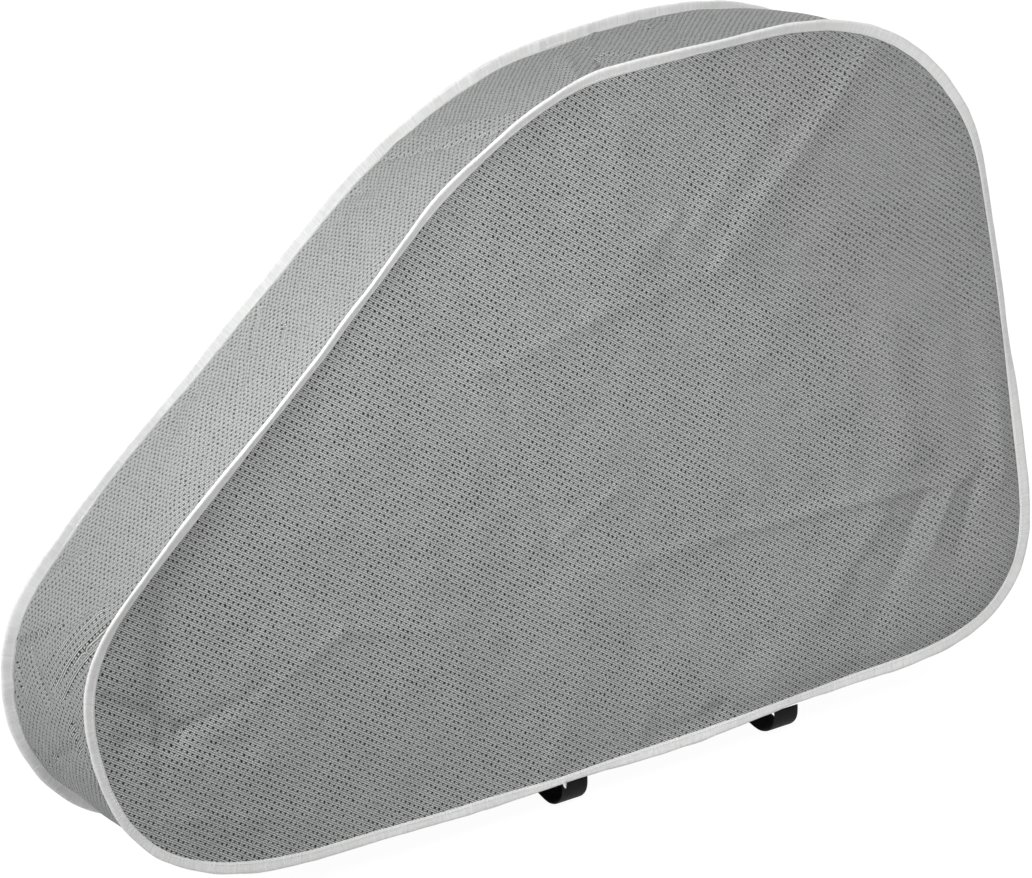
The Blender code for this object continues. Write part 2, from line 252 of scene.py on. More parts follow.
class Outline:
    """The side panels' outer edge, read from the frame: points, inward normals and spacing."""

    def __init__(self):
        node = frame["nodes"]["front_panel"]
        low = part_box("front_panel")[0].y
        front = [v.co for v in node.data.vertices if v.co.y < low + 1e-4]
        ring = sorted({(round(co.x, 5), round(co.z, 5)) for co in front})
        ring = np.array(ring)
        offset = ring - (ring.min(0) + ring.max(0)) / 2
        ring = ring[np.argsort(-np.arctan2(offset[:, 1], offset[:, 0]))]
        even = self.walk(ring, 2600)
        even = np.stack([smoothed(even[:, axis], 9.0) for axis in (0, 1)], axis=1)
        hem_nose_end = np.array((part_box("front_panel")[0].x + 0.220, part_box("front_panel")[0].z))
        first = np.argmin(((even - hem_nose_end) ** 2).sum(1))
        even = np.roll(even, -first, axis=0)
        self.point = self.walk(even, STATIONS)
        self.inward = self.normals(self.point)
        self.point = self.point - EDGE_INSET * self.inward
        steps = np.linalg.norm(self.point - np.roll(self.point, 1, axis=0), axis=1)
        self.spacing = steps.mean()
        self.length = steps.sum()

    @staticmethod
    def walk(points, count):
        """The closed polyline's points at count even steps."""
        closed = np.vstack([points, points[:1]])
        run = np.concatenate([[0], np.cumsum(np.linalg.norm(np.diff(closed, axis=0), axis=1))])
        at = np.arange(count) * run[-1] / count
        return np.stack([np.interp(at, run, closed[:, axis]) for axis in (0, 1)], axis=1)

    @staticmethod
    def normals(points):
        along = np.roll(points, -1, axis=0) - np.roll(points, 1, axis=0)
        along /= np.linalg.norm(along, axis=1)[:, None]
        return np.stack([along[:, 1], -along[:, 0]], axis=1)


class Edge:
    """A bound edge: its seam line, and the frame of the tape that stands out from it."""

    def __init__(self, stops, y, seed):
        self.tape = around(stops, 2) * MILLI
        lean = np.radians(around(stops, 3) + 2.5 * wander(0.05, seed + 1))
        self.flutter = 0.35 * MILLI * wander(0.014, seed + 2)
        self.y = y
        self.inset = around(stops, 1) * MILLI + 0.2 * MILLI * wander(0.035, seed)
        self.line = outline.point + outline.inward * self.inset[:, None]
        self.out = self.space(-outline.inward * np.cos(lean)[:, None], np.sin(lean))
        self.back = self.space(outline.inward * np.sin(lean)[:, None], np.cos(lean))
        self.seam = self.space(self.line, np.full(STATIONS, y))

    @staticmethod
    def space(flat, depth):
        return np.stack([flat[:, 0], depth, flat[:, 1]], axis=1)

    def at(self, out, back):
        """Points this far out from the seam along the tape, and this far behind its middle."""
        back = np.broadcast_to(back + self.flutter * np.clip(out / self.tape, 0, 1), STATIONS)[:, None]
        out = np.broadcast_to(out, STATIONS)[:, None]
        return self.seam + self.out * out + self.back * back


def add_to_scene(name, data):
    made = bpy.data.objects.new(name, data)
    bpy.context.scene.collection.objects.link(made)
    return made


def new_object(name, vertices, faces, uv=None):
    """A smooth mesh object; uv holds one (u, v) in metres for each face corner."""
    mesh = bpy.data.meshes.new(name)
    mesh.from_pydata([tuple(v) for v in vertices], [], faces)
    if uv is not None:
        layer = mesh.uv_layers.new(name="Metres")
        layer.data.foreach_set("uv", np.asarray(uv, np.float32).ravel())
    mesh.shade_smooth()
    return add_to_scene(name, mesh)


def lattice(rows, columns):
    """The (u, v) of every crossing of these rows and columns."""
    return np.stack(np.meshgrid(rows, columns, indexing="ij"), axis=2)


def grid_object(name, points, uv, rows_close=False, columns_close=False):
    """A mesh from a grid of points. uv has one more row or column than points where the grid closes."""
    rows, columns = points.shape[:2]
    r = np.arange(rows if rows_close else rows - 1)
    c = np.arange(columns if columns_close else columns - 1)
    r, c = [a.ravel() for a in np.meshgrid(r, c, indexing="ij")]
    corners = [(r, c), (r, c + 1), (r + 1, c + 1), (r + 1, c)]
    faces = np.stack([(a % rows) * columns + b % columns for a, b in corners], axis=1)
    corner_uv = np.stack([uv[a, b] for a, b in corners], axis=1)
    return new_object(name, points.reshape(-1, 3), faces.tolist(), corner_uv)


def thicken(piece, thickness):
    solidify = piece.modifiers.new("Thickness", "SOLIDIFY")
    solidify.thickness = thickness
    solidify.offset = 0.0
    solidify.use_even_offset = True


def face_outwards(piece, cap=False):
    """Turn a mesh's faces the same way, outwards where it is closed. cap fills its open ends first."""
    data = bmesh.new()
    data.from_mesh(piece.data)
    if cap:
        bmesh.ops.holes_fill(data, edges=[e for e in data.edges if e.is_boundary])
    bmesh.ops.recalc_face_normals(data, faces=data.faces)
    data.to_mesh(piece.data)
    data.free()


def fold_height(folds, x, z):
    """Height in metres of a set of folds over points (x, z), with x and z in metres."""
    height = np.zeros_like(x)
    for start, end, left_right_start, left_right_end, heights in folds:
        run = np.array(end) - np.array(start)
        length = np.hypot(*run)
        run = run / length
        t = ((x - start[0]) * run[0] + (z - start[1]) * run[1]) / length
        side = (z - start[1]) * run[0] - (x - start[0]) * run[1]
        share = np.clip(t, 0, 1)
        left, right = [(a + (b - a) * share) * MILLI for a, b in zip(left_right_start, left_right_end)]
        spread = np.where(side > 0, left, right)
        past = (t - share) * length
        across = np.hypot(side, 1.4 * past) / spread
        profile = np.exp(1.0 - np.sqrt(1.0 + 3.0 * across ** 2))
        height += (heights[0] + (heights[1] - heights[0]) * share) * FOLD_GAIN * MILLI * profile
    return height


def crumple(x, z, scale, seed):
    """Soft even noise over points (x, z), about 1 high, with features of the given size."""
    offset = 7.3 * seed
    return np.array([noise.noise((a / scale + offset, b / scale, offset)) for a, b in zip(x, z)]) * 2.0


# ---------------------------------------------------------------- materials

def shader_tree(name, colour, roughness):
    made = bpy.data.materials.new(name)
    made.use_nodes = True
    tree = made.node_tree
    shader = tree.nodes["Principled BSDF"]
    shader.inputs["Base Color"].default_value = (*colour, 1.0)
    shader.inputs["Roughness"].default_value = roughness
    shader.inputs["Specular IOR Level"].default_value = 0.3
    return made, tree, shader


class Nodes:
    """Short calls that add and join shader nodes."""

    def __init__(self, tree):
        self.tree = tree

    def add(self, kind, **settings):
        node = self.tree.nodes.new(kind)
        for key, value in settings.items():
            setattr(node, key, value)
        return node

    def feed(self, socket, value):
        if isinstance(value, (int, float, tuple)):
            socket.default_value = value
        else:
            self.tree.links.new(value, socket)

    def math(self, operation, *values):
        node = self.add("ShaderNodeMath", operation=operation)
        for socket, value in zip(node.inputs, values):
            self.feed(socket, value)
        return node.outputs[0]

    def plus(self, first, second):
        return self.math("ADD", first, second)

    def minus(self, first, second):
        return self.math("SUBTRACT", first, second)

    def times(self, first, second):
        return self.math("MULTIPLY", first, second)

    def noise(self, vector, scale, detail=2.0, roughness=0.5):
        node = self.add("ShaderNodeTexNoise")
        self.feed(node.inputs["Vector"], vector)
        node.inputs["Scale"].default_value = scale
        node.inputs["Detail"].default_value = detail
        node.inputs["Roughness"].default_value = roughness
        return node.outputs["Fac"]

    def ramp(self, value, low, high, out_low, out_high):
        node = self.add("ShaderNodeMapRange", interpolation_type="SMOOTHSTEP")
        for socket, number in zip(list(node.inputs)[:5], (value, low, high, out_low, out_high)):
            self.feed(socket, number)
        return node.outputs[0]

    def shade(self, colour, factor):
        """colour times a varying grey factor."""
        node = self.add("ShaderNodeVectorMath", operation="SCALE")
        node.inputs[0].default_value = colour
        self.feed(node.inputs["Scale"], factor)
        return node.outputs[0]

    def metres(self):
        node = self.add("ShaderNodeUVMap", uv_map="Metres")
        split = self.add("ShaderNodeSeparateXYZ")
        self.tree.links.new(node.outputs[0], split.inputs[0])
        return node.outputs[0], split.outputs[0], split.outputs[1]

    def wave(self, value, period):
        """A sine of the given period, from -1 to 1."""
        return self.math("SINE", self.times(value, 2 * math.pi / period))

    def bump(self, shader, height, distance, strength):
        node = self.add("ShaderNodeBump")
        node.inputs["Distance"].default_value = distance
        node.inputs["Strength"].default_value = strength
        self.feed(node.inputs["Height"], height)
        self.tree.links.new(node.outputs[0], shader.inputs["Normal"])


def cloth_material(name, colour, pattern_and_pit_shade, faded_band=None, pit_first=(4.6, -36.0), pit_second=(5.05, 48.0)):
    """Embossed nonwoven: a lattice of small pits darkened with painted shade, fine crossed ribs between them,
    and mottled fibres.

    The pair after the colour is how strongly the ribs and the painted shade in the pits show, at the nose and
    at the back. The next pair gives where, across the sheet, both fade out in a band along the front seam.
    pit_first and pit_second are the lattice's steps, in mm and degrees.
    """
    made, tree, shader = shader_tree(name, colour, 0.8)
    shader.inputs["Sheen Weight"].default_value = 0.08
    shader.inputs["Sheen Roughness"].default_value = 0.6
    n = Nodes(tree)
    vector, u, v = n.metres()

    # Lattice coordinates: a pit lies at each pair of whole numbers
    first, second = [size * MILLI * np.array((math.cos(math.radians(angle)), math.sin(math.radians(angle))))
                     for size, angle in (pit_first, pit_second)]
    first = first.tolist()
    second = second.tolist()
    area = first[0] * second[1] - first[1] * second[0]
    waver = n.times(n.minus(n.noise(vector, 260.0, 1.0), 0.5), 0.5)
    i = n.plus(n.times(u, second[1] / area), n.times(v, -second[0] / area))
    j = n.plus(n.times(v, first[0] / area), n.times(u, -first[1] / area))
    i_part = n.math("FRACT", n.plus(i, waver))
    j_part = n.math("FRACT", n.minus(j, waver))
    across = n.times(n.minus(i_part, 0.5), pit_first[0])
    along = n.times(n.minus(j_part, 0.5), pit_second[0])
    distance = n.math("SQRT", n.plus(n.math("POWER", across, 2.0), n.math("POWER", along, 2.0)))
    pit = n.ramp(distance, 0.55, 1.20, 1.0, 0.0)

    cross = n.wave(j, 1 / 3)
    ribs = n.times(cross, n.plus(0.60, n.times(n.wave(i, 1 / 3), 0.75)))
    fibre = n.minus(n.noise(vector, 800.0, 2.0, 0.6), 0.5)
    patch = n.minus(n.noise(vector, 9.0, 3.0, 0.6), 0.5)
    mottle = n.minus(n.noise(vector, 60.0, 2.0, 0.6), 0.5)
    # depth sets how strongly the ribs and the painted shade in the pits show, from the nose to the back
    depth = n.ramp(u, -0.45, 0.50, *pattern_and_pit_shade)
    if faded_band:
        depth = n.times(depth, n.ramp(v, *faded_band, 0.15, 1.0))
    strength = n.times(depth, n.ramp(n.noise(vector, 14.0, 1.0), 0.35, 0.65, 0.70, 1.0))

    tone = n.times(n.times(ribs, depth), 1.25)
    for part, share in ((fibre, 3.2), (patch, 0.16), (mottle, 0.22)):
        tone = n.plus(tone, n.times(part, share))
    tone = n.math("MAXIMUM", 0.10, n.plus(1.10, tone))
    # Painted shade: the pits are darkened in the colour, the more where depth and strength are high
    pit_shade = n.times(n.times(pit, strength), 1.1)
    tone = n.times(tone, n.minus(1.0, pit_shade))
    n.feed(shader.inputs["Base Color"], n.shade(colour, tone))

    height = n.minus(n.times(ribs, 0.22), n.times(pit, 1.0))
    height = n.plus(height, n.times(fibre, 0.8))
    n.bump(shader, height, 0.00040, 0.8)
    n.feed(shader.inputs["Roughness"], n.plus(0.80, n.times(fibre, 0.25)))
    return made


def tape_material(name, colour):
    """White woven binding: fine crosswise ribs and slight painted shade in the dips of its gathers."""
    made, tree, shader = shader_tree(name, colour, 0.75)
    shader.inputs["Sheen Weight"].default_value = 0.1
    n = Nodes(tree)
    vector, u, v = n.metres()
    ribs = n.times(n.wave(u, 0.0009), n.wave(v, 0.0009))
    fibre = n.noise(vector, 700.0, 3.0, 0.6)
    patch = n.noise(vector, 30.0, 2.0, 0.6)
    squeeze = n.add("ShaderNodeVectorMath", operation="MULTIPLY")
    n.feed(squeeze.inputs[0], vector)
    squeeze.inputs[1].default_value = (1.0, 0.12, 1.0)
    gather_relief_and_shade = n.noise(squeeze.outputs[0], 420.0, 2.0, 0.55)
    tone = n.plus(0.76, n.times(patch, 0.14))
    tone = n.plus(tone, n.times(ribs, 0.03))
    # Painted shade: the gathers' dips are greyed in the colour; the same noise also raises the gathers in the
    # bump
    tone = n.plus(tone, n.times(gather_relief_and_shade, 0.26))
    tone = n.plus(tone, n.times(fibre, 0.08))
    n.feed(shader.inputs["Base Color"], n.shade(colour, tone))
    height = n.plus(fibre, n.times(gather_relief_and_shade, 3.0))
    height = n.plus(n.times(ribs, 0.35), height)
    n.bump(shader, height, 0.00035, 0.8)
    n.feed(shader.inputs["Roughness"], n.plus(0.66, n.times(fibre, 0.2)))
    return made


def webbing_material(name, colour):
    """Black webbing: slanting twill ribs with a plain band along each selvedge."""
    made, tree, shader = shader_tree(name, colour, 0.55)
    shader.inputs["Specular IOR Level"].default_value = 0.12
    n = Nodes(tree)
    vector, u, v = n.metres()
    slant = n.wave(n.plus(u, v), 0.0016)
    thread = n.wave(n.minus(v, u), 0.0008)
    fibre = n.noise(vector, 1200.0, 2.0, 0.6)
    edge = n.ramp(n.math("ABSOLUTE", v), 0.0105, 0.0112, 1.0, 0.35)
    weave = n.times(n.plus(slant, n.times(thread, 0.4)), edge)
    tone = n.plus(1.0, n.times(weave, 0.75))
    tone = n.plus(tone, n.times(fibre, 0.5))
    n.feed(shader.inputs["Base Color"], n.shade(colour, tone))
    n.bump(shader, n.plus(weave, n.times(fibre, 0.8)), 0.0004, 1.0)
    n.feed(shader.inputs["Roughness"], n.plus(0.42, n.times(fibre, 0.3)))
    return made


def thread_material(name, colour):
    made, tree, shader = shader_tree(name, colour, 0.55)
    n = Nodes(tree)
    vector = n.add("ShaderNodeTexCoord").outputs["Object"]
    fibre = n.noise(vector, 2500.0, 2.0, 0.6)
    n.feed(shader.inputs["Base Color"], n.shade(colour, n.plus(0.88, n.times(fibre, 0.2))))
    n.bump(shader, fibre, 0.0001, 0.5)
    return made


def pile_material(name, colour, spacing, depth):
    """Hook or loop tape: a close field of small raised tufts."""
    made, tree, shader = shader_tree(name, colour, 0.7)
    shader.inputs["Sheen Weight"].default_value = 0.15
    n = Nodes(tree)
    vector = n.add("ShaderNodeTexCoord").outputs["Object"]
    cells = n.add("ShaderNodeTexVoronoi")
    n.feed(cells.inputs["Vector"], vector)
    cells.inputs["Scale"].default_value = 1.0 / spacing
    tuft = n.ramp(cells.outputs["Distance"], 0.1, 0.6, 1.0, 0.0)
    n.feed(shader.inputs["Base Color"], n.shade(colour, n.plus(0.6, n.times(tuft, 0.9))))
    n.bump(shader, tuft, depth, 0.9)
    return made


# ---------------------------------------------------------------- pieces

def side_panel(name, edge, outwards, folds, seed):
    """A crowned and folded sheet with its rim tucked into the tape. outwards is -1 or 1 along Y."""
    rings = [0.0012, 0.0030, 0.0060, 0.0100]
    rim = edge.line + outline.inward * rings[0]
    inner = [edge.line + outline.inward * distance for distance in rings[1:]]

    low = rim.min(0)
    high = rim.max(0)
    xs, zs = np.meshgrid(np.arange(low[0], high[0], GRID), np.arange(low[1], high[1], GRID * 0.866))
    xs[1::2] += GRID / 2
    inside = np.stack([xs.ravel(), zs.ravel()], axis=1)
    depth = nearest_station(inside, edge.line)[1]
    inside = inside[depth > rings[-1] + 0.6 * GRID]

    flat = np.vstack([rim] + inner + [inside])
    rim_lines = [(k, (k + 1) % STATIONS) for k in range(STATIONS)]
    result = geometry.delaunay_2d_cdt([Vector(p) for p in flat], rim_lines, [], 1, 1e-6)
    flat = np.array([(v.x, v.y) for v in result[0]])
    faces = [list(face) for face in result[2]]
    source = {origin: k for k, origins in enumerate(result[3]) for origin in origins}
    rim_index = [source[k] for k in range(STATIONS)]

    nearest, distance = nearest_station(flat, edge.line)
    distance = np.maximum(distance, 0.0)
    x = flat[:, 0]
    z = flat[:, 1]
    settle = 1.0 - np.exp(-distance / RIM_REACH)
    height = CROWN * (1.0 - np.exp(-distance / CROWN_REACH))
    height += settle * fold_height(folds, x, z)
    uneven = 1.1 * crumple(x, z, 0.085, seed) + 0.35 * crumple(x, z, 0.028, seed + 3)
    height += settle * uneven * MILLI
    pucker = wander(0.012, seed + 11)[nearest]
    height += 0.45 * MILLI * pucker * np.exp(-distance / RIM_REACH) * (1.0 - np.exp(-distance / 0.002))
    height -= KNEE * np.log1p(np.exp((height - PROUD) / KNEE))
    y = edge.y + outwards * (PLY + height)
    vertices = np.stack([x, y, z], axis=1)

    tucked = [edge.at(share * edge.tape, outwards * PLY) for share in TUCKS]
    uv = [np.stack([x, z], axis=1)]
    for share in TUCKS:
        uv.append(edge.line - outline.inward * (share * edge.tape)[:, None])
    uv = np.vstack(uv)
    base = len(vertices)
    vertices = np.vstack([vertices] + tucked)
    rows = [rim_index]
    for k in range(len(tucked)):
        rows.append(list(range(base + k * STATIONS, base + (k + 1) * STATIONS)))
    for near, far in zip(rows[:-1], rows[1:]):
        for k in range(STATIONS):
            following = (k + 1) % STATIONS
            faces.append([near[k], near[following], far[following], far[k]])
    corner_uv = uv[np.concatenate([np.array(face) for face in faces])]
    piece = new_object(name, vertices, faces, corner_uv)
    face_outwards(piece)
    thicken(piece, CLOTH)
    return piece


def nearest_station(points, line):
    """For each point, its nearest station on a closed line and how far inside the line it is."""
    index = np.empty(len(points), int)
    for start in range(0, len(points), 2000):
        block = points[start:start + 2000]
        index[start:start + 2000] = ((block[:, None] - line[None]) ** 2).sum(2).argmin(1)
    inside = ((points - line[index]) * outline.inward[index]).sum(1)
    return index, inside


def gusset_range():
    """First and last station of the gusset, beside the tapes on its two cut ends."""
    ends = []
    for node in ("nose_hem_tape", "back_hem_tape"):
        low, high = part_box(node)
        middle = np.array(((low.x + high.x) / 2, (low.z + high.z) / 2))
        ends.append(int(((outline.point - middle) ** 2).sum(1).argmin()))
    return ends


def gusset_wall(stations, share):
    """Points on the gusset at these stations and shares of the way from the front seam to the rear one."""
    front_line = front_edge.line + outline.inward * SEAM_GAP
    rear_line = rear_edge.line + outline.inward * SEAM_GAP
    depth = front_edge.y + SEAM_GAP + share * (rear_edge.y - front_edge.y - 2 * SEAM_GAP)
    along = stations * outline.spacing
    across = depth - front_edge.y
    scale = np.array((outline.length, rear_edge.y - front_edge.y))
    folds = [(scale * start, scale * end, *rest) for start, end, *rest in GUSSET_FOLDS]
    near_seam = np.minimum(share, 1.0 - share)
    settle = 1.0 - np.exp(-near_seam / 0.05)
    bow = 1.0 - (2.0 * share - 1.0) ** 2
    bulge = BULGE * bow
    bulge += REAR_PUFF * (1.0 - np.exp(-(1.0 - share) / 0.008)) * np.exp(-(1.0 - share) / 0.20)
    bulge += CREST * bow * np.exp(-((stations / STATIONS - CREST_PLACE) / CREST_SPREAD) ** 2)
    bulge += settle * fold_height(folds, along, across)
    uneven = 0.8 * crumple(along, across, 0.060, 31) + 0.25 * crumple(along, across, 0.018, 37)
    bulge += settle * uneven * MILLI
    pucker = wander(0.010, 41)[stations] * np.exp(-near_seam / 0.06) * (1.0 - np.exp(-near_seam / 0.012))
    bulge += 0.6 * MILLI * pucker
    line = front_line[stations] * (1 - share)[:, None] + rear_line[stations] * share[:, None]
    line = line - outline.inward[stations] * bulge[:, None]
    return np.stack([line[:, 0], depth, line[:, 1]], axis=1)


def gusset():
    """The strip between the side panels, with a rim folded out into each seam."""
    first, last = gusset_range()
    stations = np.arange(first, last + 1)
    near_front = np.array([0.0, 0.006, 0.015, 0.03])
    shares = np.concatenate([near_front, np.linspace(0.045, 0.955, 72), 1.0 - near_front[::-1]])
    columns = []
    flat = []
    for tuck in reversed(TUCKS):
        columns.append(front_edge.at(tuck * front_edge.tape, PLY)[stations])
        flat.append(-tuck * TAPE_WIDTH)
    for share in shares:
        columns.append(gusset_wall(stations, np.full(len(stations), share)))
        flat.append(share * (rear_edge.y - front_edge.y))
    for tuck in TUCKS:
        columns.append(rear_edge.at(tuck * rear_edge.tape, -PLY)[stations])
        flat.append(rear_edge.y - front_edge.y + tuck * TAPE_WIDTH)
    points = np.stack(columns, axis=1)
    piece = grid_object("gusset_cloth", points, lattice(stations * outline.spacing, flat))
    thicken(piece, CLOTH)
    return piece


def binding(name, edge, seed, gathers):
    """Tape folded round a bound edge. gathers is how high its small crosswise tucks stand, place by place."""
    ragged = 0.25 * MILLI * wander(0.006, seed + 1)
    tucks = gathers * np.maximum(wander(0.0035, seed + 2), 0.0) * 0.25 * MILLI
    # Points round the tape's section: (share of its width, share of its half thickness, thickness taken off)
    face = [(-0.02, 0.85, 0.0), (0.0, 0.92, 0.0), (0.12, 0.88, 0.0), (0.3, 0.92, 0.0), (0.55, 1.0, 0.0),
            (0.8, 1.12, 0.0), (0.93, 0.90, 0.0), (0.985, 0.45, 0.0)]
    outer = face + [(1.0, 0.0, 0.0)] + [(share, -half, 0.0) for share, half, _ in reversed(face)]
    inner = [(-0.02, -0.85, TAPE), (0.5, -1.0, TAPE), (0.9, -0.75, TAPE), (0.955, 0.0, 0.0),
             (0.9, 0.75, TAPE), (0.5, 1.0, TAPE), (-0.02, 0.85, TAPE)]
    columns = []
    across = []
    for share, half, taken in outer + inner:
        size = abs(half) * (TAPE_HALF + (tucks if taken == 0.0 else 0.0)) - taken
        out = share * edge.tape + (ragged if share > 0.97 else 0.0)
        back = -math.copysign(1.0, half) * size
        columns.append(edge.at(out, back))
        across.append((share if half > 0 else 2.0 - share) * TAPE_WIDTH)
    points = np.stack(columns, axis=1)
    across.append(across[0])
    uv = lattice(np.arange(STATIONS + 1) * outline.spacing, across)
    piece = grid_object(name, points, uv, rows_close=True, columns_close=True)
    face_outwards(piece)
    return piece


def stitches(name, paths, width):
    """Threads as short flattened stitches. paths holds (points, normals) pairs sampled along each row."""
    vertices = []
    faces = []
    sides = 6
    angles = [2 * math.pi * side / sides for side in range(sides)]
    for points, normals in paths:
        run = np.concatenate([[0], np.cumsum(np.linalg.norm(np.diff(points, axis=0), axis=1))])
        count = int(run[-1] / STITCH_PITCH)
        for k in range(count):
            at = (k + 0.5) * STITCH_PITCH
            ends = at + np.array([-0.40, -0.28, 0.0, 0.28, 0.40]) * STITCH_PITCH
            middle = np.stack([np.interp(ends, run, points[:, axis]) for axis in range(3)], axis=1)
            normal = np.array([np.interp(at, run, normals[:, axis]) for axis in range(3)])
            normal /= np.linalg.norm(normal)
            along = middle[-1] - middle[0]
            along /= np.linalg.norm(along)
            beside = np.cross(along, normal)
            lifts = np.array([-0.5, 0.25, 0.5, 0.25, -0.5]) * width
            sizes = np.array([0.45, 0.9, 1.0, 0.9, 0.45]) * width / 2
            base = len(vertices)
            for centre, lift, size in zip(middle, lifts, sizes):
                for angle in angles:
                    up = normal * (lift + size * math.sin(angle))
                    vertices.append(centre + up + beside * size * math.cos(angle))
            for ring in range(len(sizes) - 1):
                for side in range(sides):
                    following = (side + 1) % sides
                    a = base + ring * sides
                    faces.append([a + side, a + following, a + sides + following, a + sides + side])
            faces.append([base + side for side in range(sides)])
            faces.append([base + (len(sizes) - 1) * sides + side for side in reversed(range(sides))])
    piece = new_object(name, vertices, faces)
    face_outwards(piece)
    return piece


def binding_stitches(name, edge):
    """Both faces of the row of stitches that holds the tape."""
    rows = []
    for side in (-1.0, 1.0):
        points = edge.at(STITCH_INSET, side * (TAPE_HALF * 0.9 + THREAD_GAP))
        rows.append((np.vstack([points, points[:1]]), np.vstack([side * edge.back, side * edge.back[:1]])))
    return stitches(name, rows, THREAD_WIDTH)


def hem_tape(name, station, direction):
    """Tape and stitches over a cut end of the gusset. direction is 1 where the gusset goes on clockwise."""
    shares = np.linspace(0.03, 0.97, 60)
    stations = np.full(len(shares), station)
    ends = gusset_wall(stations, shares)
    further = gusset_wall(stations + direction * 6, shares)
    along = further - ends
    along /= np.linalg.norm(along, axis=1)[:, None]
    inward = np.array([outline.inward[station][0], 0.0, outline.inward[station][1]])
    # Points round the tape's section: (metres in from the cut end, share of its half thickness)
    profile = [(0.010, 0.9), (0.006, 1.0), (0.001, 1.0), (-0.0004, 0.7), (-0.0009, 0.0), (-0.0004, -0.7),
               (0.001, -1.0), (0.006, -1.0), (0.010, -0.9), (0.010, -0.55), (0.001, -0.55), (-0.0003, 0.0),
               (0.001, 0.55), (0.010, 0.55)]
    columns = [ends + along * reach + inward * side * HEM_TAPE_HALF for reach, side in profile]
    points = np.stack(columns, axis=1)
    run = shares * (rear_edge.y - front_edge.y)
    uv = lattice(run, np.arange(len(profile) + 1) * 0.0016)
    piece = grid_object(name, points, uv, columns_close=True)
    face_outwards(piece, cap=True)
    row = ends + along * 0.0085
    normals = np.repeat(inward[None], len(shares), axis=0)
    paths = [(row + side * inward * (HEM_TAPE_HALF + THREAD_GAP), side * normals) for side in (-1, 1)]
    return piece, stitches(name + "_stitches", paths, THREAD_WIDTH)


def ribbon(name, path, x, width, thickness):
    """Webbing along a path of (y, z), with softly rounded edges. Its UV runs along the path and across it."""
    path = np.array(path)
    steps = np.linalg.norm(np.diff(path, axis=0), axis=1)
    run = np.concatenate([[0], np.cumsum(steps)])
    along = np.gradient(path, run, axis=0)
    along /= np.linalg.norm(along, axis=1)[:, None]
    normal = np.stack([-along[:, 1], along[:, 0]], axis=1)
    half = width / 2
    section = [(-half, 0.0), (-half + 0.0002, 0.55), (-half + 0.0009, 0.9), (-half + 0.0025, 1.0)]
    section += [(side * half, 1.0) for side in (-0.6, -0.2, 0.2, 0.6)]
    section += [(-a, b) for a, b in reversed(section[:4])]
    section += [(a, -b) for a, b in reversed(section[1:-1])]
    columns = []
    across = []
    for side, lift in section:
        offset = path + normal * lift * thickness / 2
        columns.append(np.stack([np.full(len(path), x + side), offset[:, 0], offset[:, 1]], axis=1))
        across.append(side)
    points = np.stack(columns, axis=1)
    across.append(across[0])
    piece = grid_object(name, points, lattice(run, across), columns_close=True)
    face_outwards(piece, cap=True)
    return piece


def dense(path, spacing):
    """The path's points at even steps of about the given spacing."""
    path = np.array(path)
    run = np.concatenate([[0], np.cumsum(np.linalg.norm(np.diff(path, axis=0), axis=1))])
    at = np.linspace(0, run[-1], int(run[-1] / spacing) + 2)
    return np.stack([np.interp(at, run, path[:, axis]) for axis in (0, 1)], axis=1)


def strap_path(prefix, drop):
    """The strap's middle line: a soft loop down from the front hem, rising to its flat end on the tab."""
    joint = [j for j in frame["joints"] if j["name"] == prefix + "_strap_open"][0]
    pivot = joint["pos_m"]
    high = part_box(prefix + "_strap")[1]
    tab_low, tab_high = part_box(prefix + "_tab")
    incline = math.atan2(tab_high.z - tab_low.z - WEBBING, tab_high.y - tab_low.y)
    end = np.array((high.y, high_end(prefix + "_strap", high.y)))
    knee = end - (end[0] - tab_low.y + 0.002) * np.array((1.0, math.tan(incline)))
    start = np.array((pivot[1], pivot[2] + WEBBING / 2))
    loop_line = [start + np.array((back, -down * drop)) * MILLI for back, down in STRAP_LOOP]
    path = dense(np.vstack([loop_line, knee, end]), 0.0008)

    # Round off its corners; the path goes on straight past both ends, so that they stay where they are
    reach = 12
    padded = np.vstack([2 * path[0] - path[reach:0:-1], path, 2 * path[-1] - path[-2:-reach - 2:-1]])
    bell = np.exp(-0.5 * (np.arange(-reach, reach + 1) / 4.0) ** 2)
    bell /= bell.sum()
    return np.stack([np.convolve(padded[:, axis], bell, "valid") for axis in (0, 1)], axis=1)[::2]


def high_end(node, y):
    """Middle height of a CAD strip's rear end."""
    heights = [v.co.z for v in frame["nodes"][node].data.vertices if v.co.y > y - 0.0012]
    return (min(heights) + max(heights)) / 2


def rounded_patch(name, node, bevel):
    """A copy of a thin CAD patch with rounded edges."""
    piece = add_to_scene(name, frame["nodes"][node].data.copy())
    piece.data.materials.clear()
    rounding = piece.modifiers.new("Rounding", "BEVEL")
    rounding.width = bevel
    rounding.segments = 3
    rounding.limit_method = "ANGLE"
    return piece


def finish_piece(piece, material, body, slot, *replaced, rides=True):
    """Give a piece its material and body, and hide the CAD nodes it replaces. slot is not used. rides is off
    where the piece stays unattached.
    """
    piece.data.materials.clear()
    piece.data.materials.append(material)
    if rides:
        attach(piece, body)
    if replaced:
        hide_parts(*replaced)


